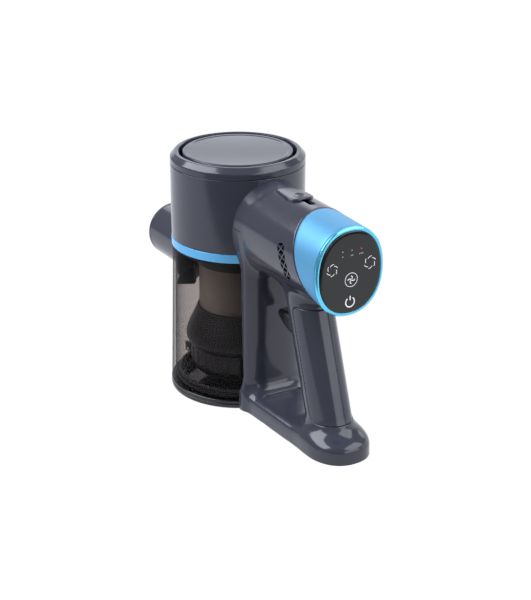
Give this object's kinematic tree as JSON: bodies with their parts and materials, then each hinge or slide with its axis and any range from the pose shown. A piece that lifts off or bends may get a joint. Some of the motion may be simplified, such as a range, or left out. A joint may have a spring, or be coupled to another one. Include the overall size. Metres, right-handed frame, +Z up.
{
  "type": "handheld vacuum",
  "caption": "Cordless handheld vacuum: round motor housing over a clear dust cup, side nozzle, oval barrel with blue ring and touch panel, closed handle loop with trigger.",
  "frame": {"origin": "centre of the flat underside of the dust cup's lid, level with the underside of the base bar", "axes": "+X from the dust cup towards the touch panel (the nozzle points along -X), +Z up along the cup's axis"},
  "size_m": [0.3214, 0.126, 0.224],
  "materials": {
    "slate_gloss": "glossy moulded plastic, dark slate grey",
    "slate_dark": "satin dark grey plastic",
    "black_gloss": "glossy black",
    "black_matt": "matt black",
    "blue_metal": "light blue anodised metal, fine brushed",
    "smoke_clear": "clear smoke-tinted plastic",
    "mesh_metal": "fine perforated metal, brownish",
    "steel": "plain steel",
    "magnet": "sintered magnet",
    "copper": "copper windings",
    "board_green": "green circuit board",
    "rubber": "soft black rubber",
    "filter_paper": "pleated white filter paper",
    "cell_wrap": "cell in a blue sleeve"
  },
  "bodies": {
    "body": {"motor_housing": "slate_gloss", "blue_band": "blue_metal", "motor_mount": "rubber", "motor_can": "steel", "stator": "copper", "bearing_top": "steel", "bearing_bottom": "steel", "motor_board": "board_green", "barrel_shell": "slate_gloss", "control_sleeve": "blue_metal", "bezel_ring": "blue_metal", "touch_panel": "black_gloss", "control_board": "board_green", "battery_cell_1": "cell_wrap", "battery_cell_2": "cell_wrap", "battery_cell_3": "cell_wrap", "battery_cell_4": "cell_wrap", "battery_cell_5": "cell_wrap", "battery_cell_6": "cell_wrap", "cell_holder_front": "black_matt", "cell_holder_rear": "black_matt", "strut": "slate_gloss", "base_bar": "slate_gloss", "base_cover": "slate_dark", "base_screw_1": "steel", "base_screw_2": "steel", "base_screw_3": "steel", "base_screw_4": "steel", "grip_front": "slate_gloss", "grip_rear_cover": "slate_gloss", "grip_foot_collar": "slate_gloss", "grip_neck": "slate_gloss", "grip_board": "board_green", "trigger_switch": "black_matt", "charge_socket": "black_matt"},
    "rotor": {"motor_shaft": "steel", "rotor_magnet": "magnet", "impeller": "steel"},
    "cap": {"cap_ring": "slate_gloss"},
    "filter_unit": {"top_disc": "slate_gloss", "exhaust_filter": "filter_paper"},
    "dust_cup": {"cup_wall": "smoke_clear", "nozzle_pipe": "slate_gloss", "nozzle_saddle": "slate_gloss", "inlet_duct": "slate_dark", "filter_collar": "slate_dark", "mesh_filter": "mesh_metal", "cyclone_skirt": "slate_dark", "hinge_bracket": "black_matt", "hinge_pin": "steel", "latch_bracket": "black_matt", "latch_pin": "steel"},
    "lid": {"cup_lid": "black_gloss", "lid_seal": "rubber"},
    "latch": {"lid_latch": "slate_gloss"},
    "slider": {"release_slider": "slate_gloss"},
    "trigger": {"trigger": "slate_dark"}
  },
  "joints": [
    {"name": "cup_release", "type": "slide", "parent": "body", "child": "dust_cup", "axis": [0, 0, -1], "range_m": [0, 0.13]},
    {"name": "lid_open", "type": "hinge", "parent": "dust_cup", "child": "lid", "pos_m": [-0.06575, -0.00924, 0.0106], "axis": [-0.1392, 0.9903, 0], "range_deg": [0, 90]},
    {"name": "latch_press", "type": "hinge", "parent": "dust_cup", "child": "latch", "pos_m": [0.04529, 0.0469, 0.017], "axis": [0.7193, -0.6947, 0], "range_deg": [0, 8], "stiffness_Nm_per_rad": 0.03, "springref_deg": -2.86},
    {"name": "slider_pull", "type": "slide", "parent": "body", "child": "slider", "axis": [1, 0, 0], "range_m": [0, 0.007], "stiffness_N_per_m": 300, "springref_m": -0.001},
    {"name": "trigger_pull", "type": "slide", "parent": "body", "child": "trigger", "axis": [1, 0, 0], "range_m": [0, 0.0045], "stiffness_N_per_m": 400, "springref_m": -0.001},
    {"name": "motor_spin", "type": "hinge", "parent": "body", "child": "rotor", "pos_m": [0, 0, 0.18], "axis": [0, 0, 1], "continuous": true},
    {"name": "cap_twist", "type": "hinge", "parent": "body", "child": "cap", "pos_m": [0, 0, 0.2136], "axis": [0, 0, 1], "range_deg": [0, 25]},
    {"name": "filter_lift", "type": "slide", "parent": "cap", "child": "filter_unit", "axis": [0, 0, 1], "range_m": [0, 0.045]}
  ]
}
